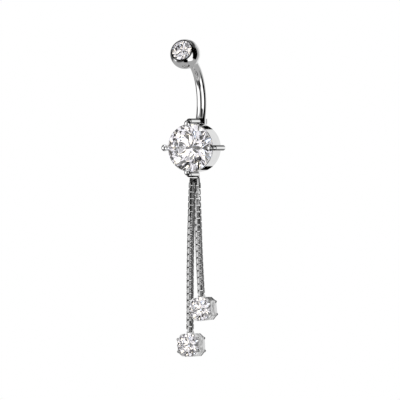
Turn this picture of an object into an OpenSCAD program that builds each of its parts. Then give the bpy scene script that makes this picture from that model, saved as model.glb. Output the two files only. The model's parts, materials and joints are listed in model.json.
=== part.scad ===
// Curved navel barbell: a gem ball on top, a claw-set round stone below, two chains with stone drops
// Millimetres, +Z up, the front faces -Y. The origin is the rearmost point of the bar's bend.

/* [Bar] */
// Thickness of the curved bar
bar_d = 1.6; // [1.4:0.1:1.8]
// Radius of the bar's bend, to its centre line
bend_r = 7.6; // [6.8:0.1:9]
// Angle of the bend above the origin
bend_up = 68; // [55:1:72]
// Angle of the bend below the origin
bend_down = 19.5; // [14:0.5:26]
// Straight stretch between the bend and the ball
neck_len = 0.8; // [0.4:0.1:2]
// Thickness of the post that the ball sits on
post_d = 1.2; // [0.9:0.05:1.3]
// Length of the post
post_len = 2.15; // [1.6:0.05:2.2]

/* [Top ball] */
// Diameter of the ball
ball_d = 5; // [4.8:0.1:6]
// Clearance all round the post in the ball's bore
post_fit = 0.04; // [0.03:0.01:0.08]
// Depth of the bore past the end of the post
bore_spare = 0.1; // [0.05:0.05:0.2]
// Diameter of the stone in the ball
gem_d = 3.4; // [2.8:0.1:3.6]
// Height of the ball's rim round that stone
rim_h = 0.1; // [0.05:0.05:0.2]

/* [Main setting] */
// Diameter of the main stone
stone_d = 8; // [7:0.1:9]
// How much wider the band is than its stone
band_over = 0.1; // [0:0.05:0.3]
// Wall of the band
band_wall = 0.4; // [0.3:0.05:0.6]
// Depth of the band behind the stone's girdle
band_depth = 3.6; // [2.8:0.1:4]
// Thickness of the four prongs
prong_d = 0.92; // [0.7:0.02:1.1]
// Length of the two side prongs behind the girdle
prong_side = 3.5; // [2.6:0.1:4.2]
// Length of the bottom prong behind the girdle
prong_bottom = 3.15; // [3.1:0.05:4]
// Diameter of the bead at each prong's tip
bead_d = 1.1; // [0.9:0.05:1.3]
// How far the beads stand in front of the girdle
bead_front = 1.35; // [1:0.05:1.6]
// Distance of the bar's foot behind the girdle
foot_back = 4.8; // [4.5:0.1:5.6]
// Width of the saddle at the bar's foot, across its flats
foot_w = 1.7; // [1.6:0.05:2]
// Width of the saddle across its rounded corners
foot_d = 2.3; // [2:0.1:2.6]
// Height of the saddle
foot_h = 1.25; // [0.9:0.05:1.4]

/* [Chains] */
// Distance from link to link, which sets a link's height
link_pitch = 0.5475; // [0.5:0.0025:0.65]
// Width of a link
link_wide = 1.15; // [1:0.01:1.3]
// Least gap between loose links
link_gap = 0.12; // [0.1:0.005:0.14]
// Height that the long chain hangs through
long_hang = 24.6; // [18:0.1:30]
// Height that the short chain hangs through
short_hang = 18.6; // [12:0.1:20]
// Wire of the small ring that carries both chains
hanger_d = 0.36; // [0.3:0.02:0.4]

/* [Drops] */
// Diameter of the drops' stones
drop_d = 3.9; // [3:0.1:4.4]
// Width of a drop's cup across its flats
cup_w = 3.8; // [3.7:0.02:4.3]
// Corner cut of the cup
cup_cut = 0.75; // [0.5:0.05:0.9]
// Wall of the cup at its flats
cup_wall = 0.36; // [0.25:0.01:0.45]
// Depth of the cup behind its stone's girdle
cup_depth = 2.9; // [2.6:0.1:3.8]
// Distance of the eye behind a drop's girdle
eye_back = 1.25; // [1:0.05:1.6]
// Thickness of the four claws on a drop
claw_d = 0.42; // [0.36:0.02:0.5]
// Diameter of the bead at a claw's end
claw_bead = 0.46; // [0.4:0.02:0.54]
// How far the claws reach past the cup's back
claw_back = 0.12; // [0:0.02:0.2]
// Lean of the long chain's drop, in degrees
lean_long = 3; // [0:1:6]
// Lean of the short chain's drop, in degrees
lean_short = 6; // [0:1:8]

/* [Hidden] */
$fn = 48;

// Gap between a stone and the metal that holds it
stone_gap = 0.03;
// Gap between the bar's shoulder and the ball
stop_gap = 0.04;
// How deep one soldered piece sinks into the other
solder = 0.06;
// A little more than a cut's own length, so that it ends in the open
open_cut = 0.5;
// How much wider the ball's flat is than the bar's end, down its slope
seat_spare = 0.015;

// Cut of the stones: widths and depths as shares of the stone's radius, angles in degrees
table_share = 0.56;
star_share = 0.5;
lower_share = 0.78;
girdle_share = 0.04;
crown_angle = 34;
pavilion_angle = 41;
// How far the pavilion's edges stand out of its round cone, as a share of the radius
edge_share = 0.016;

// The ball, measured along the post from the end of the bend
ball_r = ball_d / 2;
bar_seat = ball_r * cos(asin(bar_d / ball_d)) - seat_spare;
ball_at = neck_len + stop_gap + bar_seat;
gem_at = sqrt(ball_r * ball_r - pow(gem_d / 2 + stone_gap, 2)) - rim_h;
bore_d = post_d + 2 * post_fit;
bore_end = neck_len + post_len + bore_spare - ball_at;

// The bar's foot, and the angle at which its inner side comes down to the top prong
foot_y = bend_r * (cos(bend_down) - 1);
foot_z = -bend_r * sin(bend_down);
bend_low = 1 + asin((solder - foot_z) / (bend_r - bar_d / 2));
// Distance of the saddle's flat front before the bar's axis
saddle_front = 0.3;

// The main setting
band_d = stone_d + band_over;
prong_r = band_d / 2 + prong_d / 2 - solder;
prong_top = foot_back - saddle_front + solder;
// How far a bead leans in from its rod
bead_lean = 0.37;
bead_r = prong_r - bead_lean;
// Form of a prong's tip, as shares of how far its bead stands out and of the bead's size
elbow_share = 0.42;
nib_share = 0.62;
nib_size = 0.8;
nib_lean = 0.3;
stone_at = [0, foot_y - foot_back, foot_z - prong_r - prong_d / 2 + solder];
// Prongs of the main setting, a row for each: its angle, its length behind the girdle
PRONGS = [[0, prong_side], [90, prong_top], [180, prong_side], [270, prong_bottom]];

// Box links of flat strip, as high and as thick as their gaps allow
link_high = 2 * link_pitch - link_gap;
link_hole = link_pitch + 1.08 * link_gap;
link_t = (link_high - link_hole) / 2;
link_band = link_wide - 2 * link_t - 2.4 * link_gap;
link_soft = 0.3 * link_high;

// The small ring under the bottom prong, and the first links on it
hanger_r = link_wide / 2 + 1.1 * link_gap;
hanger_turn = -39;
hanger_x = -0.15;
hanger_back = 2.42;
first_stretch = hanger_d - link_t;
first_rise = link_high / 2 + first_stretch;
first_z = stone_at[2] - prong_r - prong_d / 2 - link_gap - first_rise;
hanger_at = [hanger_x, stone_at[1] + hanger_back,
             first_z + link_hole / 2 + first_stretch - link_gap - hanger_d / 2];

// The chains' routes, a row for each point: share of the height, share of the sway
LONG_ROUTE = [[0, 0], [0.3, 0.62], [0.6, 0.95], [1, 1]];
SHORT_ROUTE = [[0, 0], [0.38, 0.3], [0.57, 0.46], [0.75, 0.66], [1, 1]];
// How far each chain's end lies from the point under its start, along X and Y
LONG_SWAY = [-0.75, 0.81];
SHORT_SWAY = [0.9, -0.31];
// Number of links over which a chain turns from the ring's direction to square
turn_links = 16;

// The drops, with a claw at every other corner of the cup
eye_rise = link_high / 2 + 1.25 * link_gap - link_pitch;
claw_sink = 0.17;
claw_angle = atan2(cup_w / 2 - cup_cut, cup_w / 2);
claw_r = norm([cup_w / 2, cup_w / 2 - cup_cut]) - claw_sink;
claw_front = 0.35;

function hang_start(side) = [hanger_at[0] + side * hanger_r * cos(hanger_turn),
                             hanger_at[1] + side * hanger_r * sin(hanger_turn), first_z];
function route_points(start, rows, sway, hang) =
    [for (row = rows) start + [row[1] * sway[0], row[1] * sway[1], -row[0] * hang]];
function length_to(points, i) = i == 0 ? 0 : length_to(points, i - 1) + norm(points[i] - points[i - 1]);
function route_length(points) = length_to(points, len(points) - 1);
function leg_of(points, s, i = 1) =
    i == len(points) - 1 || length_to(points, i) >= s ? i : leg_of(points, s, i + 1);
function leg_way(points, i) = (points[i] - points[i - 1]) / norm(points[i] - points[i - 1]);
function route_at(points, s) =
    let (i = leg_of(points, s)) points[i - 1] + leg_way(points, i) * (s - length_to(points, i - 1));
function link_count(points) = round(route_length(points) / link_pitch) + 1;
function real_pitch(points) = route_length(points) / (link_count(points) - 1);
// The last link crosses the drop's eye, so an odd count turns a quarter further
function last_turn(points) = link_count(points) % 2 == 0 ? 0 : -90;
function link_turn(points, i) =
    90 * i + hanger_turn + (last_turn(points) - hanger_turn) * min(1, i / turn_links);

long_points = route_points(hang_start(-1), LONG_ROUTE, LONG_SWAY, long_hang);
short_points = route_points(hang_start(1), SHORT_ROUTE, SHORT_SWAY, short_hang);

// Corners of a round brilliant of radius r, its girdle at z = 0 and its table upwards
function polar(r, a, z) = [r * cos(a), r * sin(a), z];
function girdle_half(r) = girdle_share * r / 2;
function crown_z(r, across) = girdle_half(r) + (r - across) * tan(crown_angle);
function pavilion_z(r, across) = -girdle_half(r) - (r - across) * tan(pavilion_angle);
function brilliant_points(r) =
    let (half = 22.5,
         star_r = r * (table_share * cos(half) * (1 - star_share) + star_share),
         lower_r = r * (1 - lower_share))
    concat([for (k = [0:7]) polar(table_share * r, 45 * k, crown_z(r, table_share * r))],
           [for (k = [0:7]) polar(star_r, 45 * k + half, crown_z(r, star_r * cos(half)))],
           [for (j = [0:15]) polar(r, half * j, crown_z(r, r))],
           [for (j = [0:15]) polar(r, half * j, pavilion_z(r, r))],
           [for (k = [0:7]) polar(lower_r, 45 * k + half, pavilion_z(r, lower_r * cos(half)))],
           [[0, 0, pavilion_z(r, 0)]]);

// Faces of the brilliant: first corner of each ring of points in the list above
table_i = 0;
star_i = 8;
upper_i = 16;
under_i = 32;
lower_i = 48;
culet_i = 56;
function ring(k, first, count) = first + (k + count) % count;
BRILLIANT_FACES = concat(
    [[for (k = [7:-1:0]) k]],
    [for (k = [0:7]) [ring(k + 1, table_i, 8), ring(k, star_i, 8), ring(k, table_i, 8)]],
    [for (k = [0:7]) [ring(k, star_i, 8), ring(2 * k, upper_i, 16), ring(k - 1, star_i, 8),
                      ring(k, table_i, 8)]],
    [for (k = [0:7]) [ring(2 * k + 1, upper_i, 16), ring(2 * k, upper_i, 16), ring(k, star_i, 8)]],
    [for (k = [0:7]) [ring(2 * k + 2, upper_i, 16), ring(2 * k + 1, upper_i, 16), ring(k, star_i, 8)]],
    [for (j = [0:15]) [ring(j + 1, upper_i, 16), ring(j + 1, under_i, 16), ring(j, under_i, 16),
                       ring(j, upper_i, 16)]],
    [for (k = [0:7]) [ring(2 * k, under_i, 16), ring(2 * k + 1, under_i, 16), ring(k, lower_i, 8)]],
    [for (k = [0:7]) [ring(2 * k + 1, under_i, 16), ring(2 * k + 2, under_i, 16), ring(k, lower_i, 8)]],
    [for (k = [0:7]) [ring(k - 1, lower_i, 8), ring(2 * k, under_i, 16), ring(k, lower_i, 8), culet_i]]);

module brilliant(d) {
    polyhedron(brilliant_points(d / 2), BRILLIANT_FACES);
}

// The round space that a stone takes, with its gap, for cutting seats
module stone_space(d) {
    r = d / 2;
    rg = r + stone_gap;
    tip_gap = edge_share * r + stone_gap / cos(pavilion_angle);
    rotate_extrude()
        polygon([[0, crown_z(r, 0) + stone_gap], [rg, crown_z(r, r) + stone_gap],
                 [rg, pavilion_z(r, r) - stone_gap], [0, pavilion_z(r, 0) - tip_gap]]);
}

// A round rod from one point to another, both in the plane of radius and front
module rod(d, from, to) {
    way = to - from;
    translate([from[0], 0, from[1]])
        rotate([0, atan2(way[0], way[1]), 0])
            cylinder(d = d, h = norm(way));
}

module bead(d, at) {
    translate([at[0], 0, at[1]])
        sphere(d = d);
}

// Places things on the main stone's axis: its girdle at z = 0, z to the front, y upwards
module at_main_stone() {
    translate(stone_at)
        rotate([90, 0, 0])
            children();
}

// Places things at the upper end of the bend, z along the post
module at_bend_end() {
    translate([0, bend_r * (cos(bend_up) - 1), bend_r * sin(bend_up)])
        rotate([bend_up, 0, 0])
            children();
}

module at_ball() {
    at_bend_end()
        translate([0, 0, ball_at])
            children();
}

// Places things on a drop's stone axis, hung from the last link of its chain
module at_drop(points, lean) {
    hang = cup_w / 2 + eye_rise + real_pitch(points);
    translate(points[len(points) - 1])
        rotate([90, 0, 0])
            rotate([0, 0, lean])
                translate([0, -hang, eye_back])
                    children();
}

module bar_bend() {
    intersection() {
        translate([0, -bend_r, 0])
            rotate([90, 0, 90])
                rotate([0, 0, -bend_low])
                    rotate_extrude(angle = bend_low + bend_up)
                        translate([bend_r, 0])
                            circle(d = bar_d);
        translate([-bar_d, -2 * bend_r, foot_z - solder])
            cube([2 * bar_d, 3 * bend_r, 3 * bend_r]);
    }
}

module bar_end() {
    at_bend_end() {
        cylinder(d = bar_d, h = neck_len);
        translate([0, 0, -post_d / 2])
            cylinder(d = post_d, h = post_d / 2 + neck_len + post_len);
    }
}

// The bar stands on the top prong, with a block of a saddle down behind the prong's end
module bar_foot() {
    translate([0, foot_y, foot_z - foot_h])
        intersection() {
            cylinder(d = foot_d, h = foot_h);
            translate([-foot_w / 2, -saddle_front, -open_cut])
                cube([foot_w, saddle_front + foot_w / 2, foot_h + 2 * open_cut]);
        }
}

module main_band() {
    difference() {
        translate([0, 0, -band_depth])
            cylinder(d = band_d, h = band_depth - girdle_half(stone_d / 2));
        translate([0, 0, -band_depth - open_cut])
            cylinder(d = band_d - 2 * band_wall, h = band_depth + 2 * open_cut);
    }
}

module prong(angle, back) {
    elbow = [prong_r, elbow_share * bead_front];
    tip = [bead_r, bead_front];
    nib = [bead_r - nib_lean * bead_d, nib_share * bead_front];
    rotate([0, 0, angle]) {
        rod(prong_d, [prong_r, -back], elbow);
        bead(prong_d, elbow);
        rod(prong_d, elbow, tip);
        bead(bead_d, tip);
        bead(nib_size * bead_d, nib);
    }
}

module hanger() {
    translate(hanger_at) {
        rotate_extrude()
            translate([hanger_r, 0])
                circle(d = hanger_d);
        rotate([0, 0, hanger_turn + 90])
            translate([hanger_r, 0, 0])
                cylinder(d = hanger_d, h = stone_at[2] - prong_r - hanger_at[2]);
    }
}

module barbell() {
    color("lightgray") {
        bar_bend();
        bar_end();
        bar_foot();
        hanger();
        at_main_stone()
            difference() {
                union() {
                    main_band();
                    for (row = PRONGS)
                        prong(row[0], row[1]);
                }
                stone_space(stone_d);
            }
    }
}

module main_stone() {
    color("lavender")
        at_main_stone()
            brilliant(stone_d);
}

module top_ball() {
    color("silver")
        at_ball()
            difference() {
                sphere(d = ball_d);
                translate([0, 0, -bar_seat - ball_r])
                    cylinder(d = ball_d, h = ball_r);
                translate([0, 0, -ball_d])
                    cylinder(d = bore_d, h = ball_d + bore_end);
                translate([0, 0, gem_at])
                    stone_space(gem_d);
                translate([0, 0, gem_at])
                    cylinder(d = gem_d + 2 * stone_gap, h = ball_d);
            }
}

module ball_gem() {
    color("lavender")
        at_ball()
            translate([0, 0, gem_at])
                brilliant(gem_d);
}

module soft_box(w, h, r) {
    square([w, h - 2 * r], center = true);
    square([w - 2 * r, h], center = true);
    for (x = [-1, 1])
        for (y = [-1, 1])
            translate([x * (w / 2 - r), y * (h / 2 - r)])
                circle(r = r);
}

// A box link of flat strip, hole along Y, its top raised by the stretch
module box_link(stretch) {
    translate([0, 0, stretch / 2])
        rotate([90, 0, 0])
            linear_extrude(height = link_band, center = true)
                difference() {
                    soft_box(link_wide, link_high + stretch, link_soft);
                    soft_box(link_wide - 2 * link_t, link_hole + stretch, link_soft - link_t);
                }
}

// Stands a link along the chain's way at its place, turned about that way
module on_route(points, s) {
    up = -leg_way(points, leg_of(points, s));
    heading = atan2(up[1], up[0]);
    translate(route_at(points, s))
        rotate([0, acos(up[2]), heading])
            rotate([0, 0, -heading])
                children();
}

module chain(points) {
    color("darkgray")
        for (i = [0:link_count(points) - 1])
            on_route(points, i * real_pitch(points))
                rotate([0, 0, link_turn(points, i)])
                    box_link(i == 0 ? first_stretch : 0);
}

module chain_long() {
    chain(long_points);
}

module chain_short() {
    chain(short_points);
}

module cup_outline() {
    half = cup_w / 2;
    cut = half - cup_cut;
    polygon([[half, -cut], [half, cut], [cut, half], [-cut, half],
             [-half, cut], [-half, -cut], [-cut, -half], [cut, -half]]);
}

module claw(angle) {
    rotate([0, 0, angle]) {
        rod(claw_d, [claw_r, -cup_depth - claw_back], [claw_r, 0]);
        bead(claw_d, [claw_r, 0]);
        rod(claw_d, [claw_r, 0], [drop_d / 2, claw_front]);
        bead(claw_bead, [drop_d / 2, claw_front]);
    }
}

// Half a link, soldered on the cup's top flat
module drop_eye() {
    intersection() {
        translate([0, cup_w / 2 + eye_rise, -eye_back])
            rotate([-90, 0, 0])
                box_link(0);
        translate([-link_wide, cup_w / 2 - solder, -eye_back - link_wide])
            cube([2 * link_wide, link_high, 2 * link_wide]);
    }
}

module drop_setting(points, lean) {
    color("gainsboro")
        at_drop(points, lean) {
            difference() {
                union() {
                    translate([0, 0, -cup_depth])
                        linear_extrude(height = cup_depth - girdle_half(drop_d / 2))
                            cup_outline();
                    for (angle = [claw_angle, 180 - claw_angle, 180 + claw_angle, -claw_angle])
                        claw(angle);
                }
                stone_space(drop_d);
                translate([0, 0, -cup_depth - open_cut])
                    cylinder(d = cup_w - 2 * cup_wall, h = cup_depth + open_cut);
            }
            drop_eye();
        }
}

module drop_setting_long() {
    drop_setting(long_points, lean_long);
}

module drop_setting_short() {
    drop_setting(short_points, lean_short);
}

module drop_stone(points, lean) {
    color("lavender")
        at_drop(points, lean)
            brilliant(drop_d);
}

module drop_stone_long() {
    drop_stone(long_points, lean_long);
}

module drop_stone_short() {
    drop_stone(short_points, lean_short);
}

barbell();
main_stone();
top_ball();
ball_gem();
chain_long();
chain_short();
drop_setting_long();
drop_setting_short();
drop_stone_long();
drop_stone_short();
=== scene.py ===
"""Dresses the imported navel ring: polished steel, cut stones, a white studio and the photo's camera."""

import json
import math

import bmesh
import bpy
import numpy as np
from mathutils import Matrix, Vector


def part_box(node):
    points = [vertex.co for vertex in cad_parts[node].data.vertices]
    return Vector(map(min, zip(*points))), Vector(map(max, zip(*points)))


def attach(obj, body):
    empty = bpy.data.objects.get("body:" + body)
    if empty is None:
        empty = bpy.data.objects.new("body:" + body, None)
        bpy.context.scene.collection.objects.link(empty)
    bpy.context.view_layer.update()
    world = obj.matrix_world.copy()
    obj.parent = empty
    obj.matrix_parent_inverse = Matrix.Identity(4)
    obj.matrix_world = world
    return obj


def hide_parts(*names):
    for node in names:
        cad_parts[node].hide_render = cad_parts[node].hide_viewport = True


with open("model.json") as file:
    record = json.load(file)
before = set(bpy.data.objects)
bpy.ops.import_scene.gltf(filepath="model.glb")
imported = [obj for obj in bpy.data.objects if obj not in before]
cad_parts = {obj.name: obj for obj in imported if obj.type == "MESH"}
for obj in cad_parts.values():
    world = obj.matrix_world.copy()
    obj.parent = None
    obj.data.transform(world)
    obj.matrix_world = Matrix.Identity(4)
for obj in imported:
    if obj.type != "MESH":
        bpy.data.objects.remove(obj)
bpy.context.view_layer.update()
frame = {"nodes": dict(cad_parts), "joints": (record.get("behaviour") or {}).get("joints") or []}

NODES = frame["nodes"]
MM = 0.001

# The photo's view: degrees round the object, and what lies at the picture's centre
VIEW_AZIMUTH = 20.8
CENTRE_RIGHT = -0.26 * MM
CENTRE_UP = -16.08 * MM
PICTURE_WIDTH = 66.67 * MM
CAMERA_DISTANCE = 0.4
CLIP_NEAR, CLIP_FAR = 0.01, 20
FLOOR_Z = -0.12
FLOOR_HALF = 3.0
FLOOR_TONE = 0.9
FLOOR_ROUGH = 0.8

# Places and sizes on the solids that the finishes follow, as the part's source has them
STONE_Z = -7.387 * MM
BAND_R = 4.05 * MM
PRONG_TOP = -2.42 * MM
PRONG_HALF = 0.46 * MM
ELBOW_Y = -6.95 * MM
SADDLE_FRONT = -0.74 * MM
SADDLE_BACK = 0.41 * MM
BALL_R = 2.5 * MM
BALL_LOW, BALL_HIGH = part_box("top_ball")
BALL_AT = Vector((0.0, BALL_HIGH.y - BALL_R, (BALL_LOW.z + BALL_HIGH.z) / 2))
BALL_FRONT = Vector(frame["joints"][0]["axis"])
SEAT_R = 1.8 * MM

# A box link's strip: its thickness, the radius of its corners outside and inside, and its eased edges
WELD = 0.0001 * MM
LINK_THICK = 0.148 * MM
LINK_OUTER = 0.13 * MM
LINK_INNER = 0.04 * MM
LINK_SOFT = 0.03 * MM
LINK_STEPS = 4
LINK_SHARP = 50

# The strip's section, a row for each point: 1 outside or 0 inside, the side, and the way each is eased
STRIP = [
    (0, -1, 0, 1),
    (0, 1, 0, -1),
    (0, 1, 1, 0),
    (1, 1, -1, 0),
    (1, 1, 0, -1),
    (1, -1, 0, 1),
    (1, -1, -1, 0),
    (0, -1, 1, 0),
]
# The strip's faces that look into the link's hole, which take the painted shade
LOOKS_INTO_HOLE = (0, 6, 7)

# A chain's turn about its own line, in degrees, and the links at each end over which it grows
LINK_TURN = 18
TURN_OVER = 3

# Steels, a row for each: tone, lowest and highest roughness, grain along X, Y and Z, depth of its lines
STEELS = {
    "polished_steel": (0.86, (0.02, 0.06), (3000, 3000, 30000), 0.0002 * MM),
    "ball_steel": (0.86, (0.02, 0.06), (3000, 3000, 30000), 0.0002 * MM),
    "cup_steel": (0.8, (0.1, 0.18), (4000, 4000, 20000), 0.0005 * MM),
    "chain_steel": (0.56, (0.3, 0.42), (9000, 9000, 3000), 0.0005 * MM),
    # The chain's inside: steel painted near black, painted shade between the links
    "chain_painted_shade": (0.14, (0.3, 0.4), (9000, 9000, 3000), 0.0005 * MM),
}

# Noise in the finishes: detail and roughness of the steel's clouds and of all finer noise, and the part of
# each noise's values that counts
CLOUD_SCALE = 900.0
CLOUD_NOISE = (3.0, 0.6)
FINE_NOISE = (2.0, 0.5)
TONE_SPAN = (0.35, 0.65)
FINE_SPAN = (0.4, 0.6)
RUB_SPAN = (0.45, 0.65)
TONE_WANDER = 0.04

# The prongs and the saddle: tone of their fronts, a painted highlight, and of their painted dark
# reflections, half the width that stays bright, how far a surface turns away before it is painted dark, and
# the widths of the marks' soft edges
PRONG_PAINTED_HIGHLIGHT = 0.98
PRONG_PAINTED_DARK = 0.04
PRONG_CORE = 0.2 * MM
FLANK_TURN = (0.25, 0.5)
BEAD_TURN = (-0.92, -0.72)
HAIR = 0.05 * MM
SOFT = 0.1 * MM
PRONG_END = 0.15 * MM
SADDLE_END = (0.4 * MM, 0.3 * MM)

# The line of painted shade round the ball's gem: its tone, half its width, and how far forward of the ball's
# middle it starts
SEAT_SHADE_TONE = 0.06
SEAT_LINE = 0.1 * MM
SEAT_START = 0.5 * MM

# A drop's cup: half its width, how its sides cloud over, and its back band, a painted highlight, and its
# corners, painted dark reflections, the band and the corners' start as shares of its depth
CUP_HALF = 1.95 * MM
CUP_CLOUD = 1500.0
CUP_DULL = 0.45
BACK_FROM, BACK_SOFT = 0.72, 0.05
CORNER_R, CORNER_SOFT = 2.12 * MM, 0.06 * MM
CORNER_FROM, CORNER_SHARE = 0.82, 0.04
CORNER_PAINTED_DARK = 0.03

# Stones: refraction, a weak front reflection, and a faint rubbing from wear
STONE_IOR = 2.16
STONE_SHEEN = 0.1
RUB_SCALE = 1200.0
RUB_ROUGH = 0.012

# How often light is followed through the stones and between metal faces
STONE_BOUNCES = 24
METAL_BOUNCES = 8


def direction(azimuth, elevation):
    a, e = math.radians(azimuth), math.radians(elevation)
    return Vector((math.sin(a) * math.cos(e), -math.cos(a) * math.cos(e), math.sin(e)))


class Tree:
    """Adds shader nodes in short lines. A value that is a node's output is linked, any other is set."""

    def __init__(self, tree):
        self.tree = tree

    def add(self, kind, *values, out=0, **settings):
        made = self.tree.nodes.new("ShaderNode" + kind)
        for name, value in settings.items():
            setattr(made, name, value)
        for k, value in enumerate(values):
            self.put(made.inputs[k], value)
        return made.outputs[out]

    def put(self, socket, value):
        if isinstance(value, bpy.types.NodeSocket):
            self.tree.links.new(value, socket)
        elif value is not None:
            socket.default_value = value

    def math(self, operation, *values):
        return self.add("Math", *values, operation=operation)

    def smooth(self, value, low, high):
        """0 below low, 1 above high, smooth between."""
        return self.add("MapRange", value, low, high, 0.0, 1.0, interpolation_type="SMOOTHSTEP")

    def mix(self, share, first, second):
        made = self.tree.nodes.new("ShaderNodeMix")
        for k, value in ((0, share), (2, first), (3, second)):
            self.put(made.inputs[k], value)
        return made.outputs[0]

    def blend(self, share, first, second):
        """As mix, for colours."""
        made = self.tree.nodes.new("ShaderNodeMix")
        made.data_type = "RGBA"
        for k, value in ((0, share), (6, first), (7, second)):
            self.put(made.inputs[k], (*value, 1.0) if isinstance(value, tuple) else value)
        return made.outputs[2]

    def dot(self, vector, way):
        return self.add("VectorMath", vector, tuple(way), out=1, operation="DOT_PRODUCT")


# Cards of the metal's studio, a row for each: azimuth and elevation from the view, width, height, roll
# and soft edge, all in degrees, then brightness
CARDS = [
    (-74, -6, 62, 62, 0, 7, 1.3),
    (40, -18, 42, 62, -14, 6, 1.35),
    (160, 2, 44, 46, 0, 5, 0.84),
    (-122, 22, 50, 26, 0, 6, 0.12),
    (-130, -4, 36, 26, 0, 6, 0.1),
    (-46, -54, 70, 9, 0, 5, 0.1),
    (8, -56, 24, 22, 0, 4, 0.0),
    (-14, -6, 20, 84, 16, 5, 0.0),
    (22, 23, 32, 18, 0, 4, 0.05),
    (74, 23, 32, 18, 0, 4, 0.05),
    (86, 12, 44, 76, 0, 6, 0.0),
    (128, 44, 50, 14, 0, 5, 0.06),
    (168, 19, 8, 8, 0, 2, 0.0),
    (168, -18, 9, 8, 0, 2, 0.0),
]

# Between the cards: the room, the sky over those elevations, and the dark behind the object, from those
# angles off the view
ROOM = 0.43
SKY = 1.2
SKY_FROM, SKY_TO = 50, 60
EDGE_DARK = 0.2
EDGE_FROM, EDGE_TO = 172, 178


def card_mask(t, way, azimuth, elevation, width, height, roll, soft):
    """1 where the way meets a card at that azimuth and elevation, 0 outside it."""
    centre = direction(VIEW_AZIMUTH + azimuth, elevation)
    level = direction(VIEW_AZIMUTH + azimuth + 90, 0)
    upright = level.cross(-centre).normalized()
    turn = math.radians(roll)
    across = level * math.cos(turn) - upright * math.sin(turn)
    along = upright * math.cos(turn) + level * math.sin(turn)
    mask = 1.0
    for side, size in ((across, width), (along, height)):
        angle = t.math("ARCTAN2", t.dot(way, side), t.dot(way, centre))
        edge = math.radians(size / 2)
        within = t.smooth(t.math("ABSOLUTE", angle), edge + math.radians(soft), edge)
        mask = t.math("MULTIPLY", within, mask)
    return mask


def metal_studio(t, way):
    """Brightness that polished metal reflects from that way."""
    up = t.math("ARCSINE", t.dot(way, (0, 0, 1)))
    light = t.mix(t.smooth(up, math.radians(SKY_FROM), math.radians(SKY_TO)), ROOM, SKY)
    for *place, value in CARDS:
        light = t.mix(card_mask(t, way, *place), light, value)
    off_view = t.math("ARCCOSINE", t.dot(way, direction(VIEW_AZIMUTH, 0)))
    edge = t.smooth(off_view, math.radians(EDGE_FROM), math.radians(EDGE_TO))
    return t.mix(edge, light, EDGE_DARK)


# The stones' studio is a pale dome hung with dark and bright slats: how many stand round it and over it, how
# far they lean, and the parts of their wave that are dark and bright
SLATS_ROUND = 7
SLATS_OVER = 5
SLAT_LEAN = 0.5
DARK_SPAN = (0.05, 0.2)
BRIGHT_SPAN = (0.4, 0.6)

# Light of the dome, and of the bright slats, which run from warm to cool and back a few times round
DOME = (1.0, 0.97, 1.03)
WARM = (2.2, 2.0, 1.7)
COOL = (1.8, 2.0, 2.4)
BLACK = (0.0, 0.0, 0.0)
TINTS_ROUND = 5
TINT_SPAN = (-0.4, 0.4)

# The dark of whoever looks at the stones, in degrees off the view
VIEWER_FROM, VIEWER_TO = 14, 10


def stone_studio(t, way):
    """Light that the stones send back from that way."""
    ahead, aside = (t.dot(way, direction(VIEW_AZIMUTH + turn, 0)) for turn in (0, 90))
    azimuth = t.math("ARCTAN2", aside, ahead)
    up = t.math("ARCSINE", t.dot(way, (0, 0, 1)))
    leaning = t.math("ADD", azimuth, t.math("MULTIPLY", up, SLAT_LEAN))
    slats = t.math("SINE", t.math("MULTIPLY", leaning, SLATS_ROUND))
    wave = t.math("MULTIPLY", slats, t.math("COSINE", t.math("MULTIPLY", up, SLATS_OVER)))
    tint = t.smooth(t.math("SINE", t.math("MULTIPLY", azimuth, TINTS_ROUND)), *TINT_SPAN)
    bright = t.smooth(t.math("MULTIPLY", wave, -1.0), *BRIGHT_SPAN)
    off_view = t.math("ARCCOSINE", ahead)
    viewer = t.smooth(off_view, math.radians(VIEWER_FROM), math.radians(VIEWER_TO))
    dark = t.math("MAXIMUM", t.smooth(wave, *DARK_SPAN), viewer)
    return t.blend(dark, t.blend(bright, DOME, t.blend(tint, WARM, COOL)), BLACK)


def make_world():
    world = bpy.data.worlds.new("studio")
    bpy.context.scene.world = world
    world.use_nodes = True
    world.node_tree.nodes.clear()
    t = Tree(world.node_tree)
    way = t.add("VectorMath", t.add("TexCoord", out=0), operation="NORMALIZE")
    path = world.node_tree.nodes.new("ShaderNodeLightPath").outputs
    light = t.mix(path["Is Glossy Ray"], 1.0, metal_studio(t, way))
    light = t.blend(path["Is Transmission Ray"], grey(t, light), stone_studio(t, way))
    shade = t.add("Background", light, 1.0)
    output = world.node_tree.nodes.new("ShaderNodeOutputWorld")
    world.node_tree.links.new(shade, output.inputs[0])


def make_camera():
    data = bpy.data.cameras.new("camera")
    data.type = "ORTHO"
    data.ortho_scale = PICTURE_WIDTH
    camera = bpy.data.objects.new("camera", data)
    bpy.context.scene.collection.objects.link(camera)
    back = direction(VIEW_AZIMUTH, 0)
    right = direction(VIEW_AZIMUTH + 90, 0)
    camera.location = right * CENTRE_RIGHT + Vector((0, 0, CENTRE_UP)) + back * CAMERA_DISTANCE
    camera.rotation_mode = "QUATERNION"
    camera.rotation_quaternion = (-back).to_track_quat("-Z", "Y")
    data.clip_start, data.clip_end = CLIP_NEAR, CLIP_FAR
    bpy.context.scene.camera = camera


def material(name):
    made = bpy.data.materials.new(name)
    made.use_nodes = True
    made.node_tree.nodes.clear()
    t = Tree(made.node_tree)
    shader = made.node_tree.nodes.new("ShaderNodeBsdfPrincipled")
    output = made.node_tree.nodes.new("ShaderNodeOutputMaterial")
    made.node_tree.links.new(shader.outputs[0], output.inputs[0])
    return made, t, shader.inputs


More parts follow.
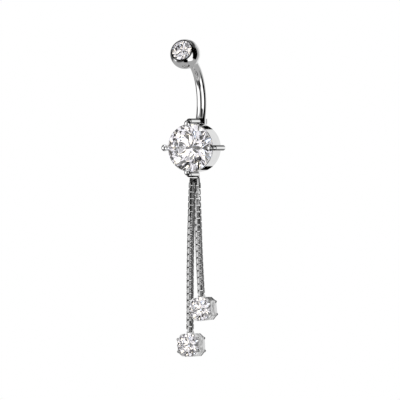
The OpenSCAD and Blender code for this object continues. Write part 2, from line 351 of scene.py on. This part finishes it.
def bumped(t, put, height, depth):
    """Raises the surface by that height, from 0 to 1, times the depth in metres."""
    made = t.tree.nodes.new("ShaderNodeBump")
    made.inputs["Strength"].default_value = 1.0
    made.inputs["Distance"].default_value = depth
    t.put(made.inputs["Height"], height)
    t.put(put["Normal"], made.outputs[0])


def grey(t, value):
    return t.add("CombineColor", value, value, value)


def noise(t, where, scale, kind):
    detail, rough = kind
    return t.add("TexNoise", where, None, scale, detail, rough)


def spread(t, value, span, low, high):
    """Low at the span's start, high at its end."""
    return t.add("MapRange", value, *span, low, high)


def parts(t, vector):
    return [t.add("SeparateXYZ", vector, out=k) for k in range(3)]


def hypotenuse(t, first, second):
    squares = t.math("ADD", t.math("MULTIPLY", first, first), t.math("MULTIPLY", second, second))
    return t.math("SQRT", squares)


def band_of(t, value, low, high, soft):
    """1 between low and high, 0 outside them."""
    return t.math("MULTIPLY", t.smooth(value, low - soft, low), t.smooth(value, high + soft, high))


def steel(kind, marks_and_painted_light=None, name=None):
    """Steel of that row: tone and roughness wander, and fine polishing lines run along the grain."""
    tone, rough, grain, depth = STEELS[kind]
    made, t, put = material(name or kind)
    where = t.add("TexCoord", out=3)
    cloud = noise(t, where, CLOUD_SCALE, CLOUD_NOISE)
    lines = noise(t, t.add("VectorMath", where, grain, operation="MULTIPLY"), 1.0, FINE_NOISE)
    colour = spread(t, cloud, TONE_SPAN, tone * (1 - TONE_WANDER), tone * (1 + TONE_WANDER))
    # The given marks add painted light to the colour: painted highlights and reflections on the prongs,
    # painted shade round the gem, and cloud, a painted highlight and painted dark reflections on the cups
    if marks_and_painted_light:
        colour = marks_and_painted_light(t, where, colour)
    t.put(put["Base Color"], grey(t, colour))
    put["Metallic"].default_value = 1.0
    t.put(put["Roughness"], spread(t, t.mix(0.5, cloud, lines), FINE_SPAN, *rough))
    bumped(t, put, lines, depth)
    return made


def prong_painted_reflections(t, where, colour):
    """Painted reflections on the prongs: a painted highlight on their fronts, and painted dark reflections
    on flanks, beads' sides and ends, and the saddle at its back edge.
    """
    x, y, z = parts(t, where)
    _, ny, nz = parts(t, t.add("TexCoord", out=1))
    over = t.math("SUBTRACT", z, STONE_Z)
    outside = t.smooth(hypotenuse(t, x, over), BAND_R + 0.2 * HAIR, BAND_R + HAIR)
    below = t.smooth(z, PRONG_TOP + 0.4 * HAIR, PRONG_TOP)
    off_x, off_z = t.math("ABSOLUTE", x), t.math("ABSOLUTE", over)
    upright = t.smooth(t.math("SUBTRACT", off_z, off_x), -SOFT, SOFT)
    away = t.math("ABSOLUTE", t.math("SUBTRACT", off_z, BAND_R + PRONG_HALF))
    rim = t.smooth(t.mix(upright, off_z, away), PRONG_CORE, PRONG_CORE + SOFT)
    flank = t.math("MAXIMUM", rim, t.smooth(t.math("ABSOLUTE", nz), *FLANK_TURN))
    side = t.smooth(ny, *BEAD_TURN)
    tip = t.smooth(y, ELBOW_Y + HAIR, ELBOW_Y - HAIR)
    prong = t.math("MULTIPLY", outside, below)
    saddle = t.smooth(y, SADDLE_FRONT, SADDLE_FRONT + HAIR)
    end = band_of(t, y, SADDLE_FRONT - PRONG_END, SADDLE_FRONT, HAIR)
    back = t.smooth(y, *(SADDLE_BACK - from_back for from_back in SADDLE_END))
    dark = t.math("MAXIMUM", t.mix(saddle, t.mix(tip, flank, side), 0.0), t.math("MAXIMUM", end, back))
    # Painted highlight: the prongs, but not the saddle, take a bright tone
    colour = t.mix(t.math("SUBTRACT", prong, t.math("MULTIPLY", prong, saddle)), colour, PRONG_PAINTED_HIGHLIGHT)
    # Painted dark reflections on flanks, beads' sides and ends, and the saddle's edges
    return t.mix(t.math("MULTIPLY", prong, dark), colour, PRONG_PAINTED_DARK)


def seat_painted_shade(t, where, colour):
    """A fine dark line of painted shade round the gem, where its seat's edge is turned over."""
    off = t.add("VectorMath", where, tuple(BALL_AT), operation="SUBTRACT")
    radius = t.add("VectorMath", off, tuple(BALL_FRONT), operation="CROSS_PRODUCT")
    radius = t.add("VectorMath", radius, out=1, operation="LENGTH")
    front = t.smooth(t.dot(off, BALL_FRONT), 0.0, SEAT_START)
    line = band_of(t, radius, SEAT_R - SEAT_LINE, SEAT_R + SEAT_LINE, HAIR)
    # Painted shade: the line round the gem takes a near black tone
    return t.mix(t.math("MULTIPLY", line, front), colour, SEAT_SHADE_TONE)


def cup_steel(node):
    """A drop's cup: cloudy sides, a brighter back band as a painted highlight, and painted dark reflections
    on the claws' ends there.
    """
    low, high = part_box(node)
    axis_x, axis_z = (low.x + high.x) / 2, low.z + CUP_HALF

    def cloud_and_painted_light(t, where, colour):
        x, y, z = parts(t, where)
        share = t.math("DIVIDE", t.math("SUBTRACT", y, low.y), high.y - low.y)
        cloud = noise(t, where, CUP_CLOUD, FINE_NOISE)
        cloudy = t.math("MULTIPLY", colour, spread(t, cloud, FINE_SPAN, CUP_DULL, 1.0))
        # The back band keeps the full tone, a painted highlight, while the sides cloud over
        colour = t.mix(t.smooth(share, BACK_FROM - BACK_SOFT, BACK_FROM), cloudy, colour)
        radius = hypotenuse(t, t.math("SUBTRACT", x, axis_x), t.math("SUBTRACT", z, axis_z))
        corner = t.smooth(radius, CORNER_R - CORNER_SOFT, CORNER_R)
        behind = t.smooth(share, CORNER_FROM - CORNER_SHARE, CORNER_FROM)
        # Painted dark reflections on the claws' ends at the back corners
        return t.mix(t.math("MULTIPLY", corner, behind), colour, CORNER_PAINTED_DARK)

    return steel("cup_steel", cloud_and_painted_light, node + "_steel")


def stone(name):
    """A clear cut stone, very faintly rubbed."""
    made, t, put = material(name)
    put["Base Color"].default_value = (1, 1, 1, 1)
    rub = noise(t, t.add("TexCoord", out=3), RUB_SCALE, FINE_NOISE)
    t.put(put["Roughness"], spread(t, rub, RUB_SPAN, 0.0, RUB_ROUGH))
    put["IOR"].default_value = STONE_IOR
    put["Transmission Weight"].default_value = 1.0
    put["Specular IOR Level"].default_value = STONE_SHEEN
    return made


def make_floor():
    mesh = bpy.data.meshes.new("floor")
    h = FLOOR_HALF
    corners = [(-h, -h, FLOOR_Z), (h, -h, FLOOR_Z), (h, h, FLOOR_Z), (-h, h, FLOOR_Z)]
    mesh.from_pydata(corners, [], [(0, 1, 2, 3)])
    floor = bpy.data.objects.new("floor", mesh)
    bpy.context.scene.collection.objects.link(floor)
    made, t, put = material("floor_white")
    put["Base Color"].default_value = (FLOOR_TONE, FLOOR_TONE, FLOOR_TONE, 1)
    put["Roughness"].default_value = FLOOR_ROUGH
    mesh.materials.append(made)
    floor.visible_glossy = False
    floor.visible_transmission = False


def islands(mesh):
    """The corners of each loose solid of a mesh, as arrays, in the mesh's own order."""
    count = len(mesh.vertices)
    at = np.zeros(count * 3)
    mesh.vertices.foreach_get("co", at)
    at = at.reshape(-1, 3)
    _, same = np.unique(np.round(at / WELD).astype(int), axis=0, return_inverse=True)
    same = same.reshape(-1)
    group = np.arange(same.max() + 1)

    def top(i):
        while group[i] != i:
            group[i] = group[group[i]]
            i = group[i]
        return i

    for edge in mesh.edges:
        first, second = (top(same[v]) for v in edge.vertices)
        group[max(first, second)] = min(first, second)
    owner = np.array([top(i) for i in same])
    return [at[owner == which] for which in sorted(set(owner))]


def link_frames(node):
    """Each link's centre, its ways across, along the chain and through its hole, and its sizes."""
    solids = islands(NODES[node].data)
    centres = [(solid.min(0) + solid.max(0)) / 2 for solid in solids]
    order = sorted(range(len(solids)), key=lambda i: -centres[i][2])
    frames = []
    for k, i in enumerate(order):
        before, after = order[max(0, k - 1)], order[min(len(order) - 1, k + 1)]
        up = centres[before] - centres[after]
        up /= np.linalg.norm(up)
        spread = np.cov((solids[i] - solids[i].mean(0)).T)
        flat = np.eye(3) - np.outer(up, up)
        values, ways = np.linalg.eigh(flat @ spread @ flat)
        through = ways[:, np.argsort(values)[1]]
        through = through - up * through.dot(up)
        through /= np.linalg.norm(through)
        across = np.cross(up, through)
        spans = [(way, solids[i] @ way) for way in (across, up, through)]
        size = [np.ptp(span) for _, span in spans]
        middle = sum(way * (span.max() + span.min()) / 2 for way, span in spans)
        turn = math.radians(LINK_TURN) * min(1, k / TURN_OVER, (len(order) - 1 - k) / TURN_OVER)
        turned_across = across * math.cos(turn) + through * math.sin(turn)
        turned_through = through * math.cos(turn) - across * math.sin(turn)
        frames.append((middle, [turned_across, up, turned_through], size))
    return frames


def soft_corners(width, height, radius):
    """Points round a box with soft corners."""
    points = []
    for quarter in range(4):
        turn = quarter * math.pi / 2
        x = (width / 2 - radius) * (1 if quarter in (0, 3) else -1)
        y = (height / 2 - radius) * (1 if quarter in (0, 1) else -1)
        for step in range(LINK_STEPS + 1):
            angle = turn + step / LINK_STEPS * math.pi / 2
            points.append((x + radius * math.cos(angle), y + radius * math.sin(angle)))
    return points


def link_mesh(verts, faces, frame_of_link):
    """Adds one flat-strip box link with softened edges."""
    middle, ways, (width, height, band) = frame_of_link
    outer = soft_corners(width, height, LINK_OUTER)
    inner = soft_corners(width - 2 * LINK_THICK, height - 2 * LINK_THICK, LINK_INNER)
    start, stations, ring = len(verts), len(outer), len(STRIP)
    for (ox, oy), (ix, iy) in zip(outer, inner):
        for out, side, ease_out, ease_side in STRIP:
            share = out + ease_out * LINK_SOFT / LINK_THICK
            x, y = ix + (ox - ix) * share, iy + (oy - iy) * share
            z = side * band / 2 + ease_side * LINK_SOFT
            verts.append(middle + ways[0] * x + ways[1] * y + ways[2] * z)
    for i in range(stations):
        here, there = start + i * ring, start + (i + 1) % stations * ring
        for k in range(ring):
            m = (k + 1) % ring
            faces.append([here + k, there + k, there + m, here + m])


def make_chain(node, finish, inner_painted_shade):
    """Replaces a chain's links by the same links with softer edges and squarer corners, with painted shade
    on the faces that look into each hole.
    """
    verts, faces = [], []
    for link in link_frames(node):
        link_mesh(verts, faces, link)
    mesh = bpy.data.meshes.new(node + "_links")
    mesh.from_pydata([tuple(v) for v in verts], [], faces)
    mesh.validate()
    work = bmesh.new()
    work.from_mesh(mesh)
    bmesh.ops.recalc_face_normals(work, faces=work.faces)
    work.to_mesh(mesh)
    work.free()
    mesh.shade_smooth()
    mesh.set_sharp_from_angle(angle=math.radians(LINK_SHARP))
    mesh.materials.append(finish)
    mesh.materials.append(inner_painted_shade)
    # Faces that look into the hole take the second finish, painted shade
    for i, polygon in enumerate(mesh.polygons):
        polygon.material_index = 1 if i % len(STRIP) in LOOKS_INTO_HOLE else 0
    piece = bpy.data.objects.new(node + "_links", mesh)
    bpy.context.scene.collection.objects.link(piece)
    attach(piece, "bar")
    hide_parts(node)


make_world()
make_camera()
make_floor()

polished = steel("polished_steel", prong_painted_reflections)
balled = steel("ball_steel", seat_painted_shade)
chained = steel("chain_steel")
chain_painted_shade = steel("chain_painted_shade")
clear = stone("clear_stone")
for name, dress, slot in (
    ("barbell", polished, "polished_steel"),
    ("top_ball", balled, "polished_steel"),
    ("main_stone", clear, "clear_stone"),
    ("ball_gem", clear, "clear_stone"),
    ("drop_setting_long", cup_steel("drop_setting_long"), "setting_steel"),
    ("drop_setting_short", cup_steel("drop_setting_short"), "setting_steel"),
    ("drop_stone_long", clear, "clear_stone"),
    ("drop_stone_short", clear, "clear_stone"),
):
    NODES[name].data.materials.clear()
    NODES[name].data.materials.append(dress)
for node in ("chain_long", "chain_short"):
    make_chain(node, chained, chain_painted_shade)

scene = bpy.context.scene
scene.view_settings.view_transform = "Standard"
scene.cycles.max_bounces = STONE_BOUNCES
scene.cycles.transmission_bounces = STONE_BOUNCES
scene.cycles.glossy_bounces = METAL_BOUNCES
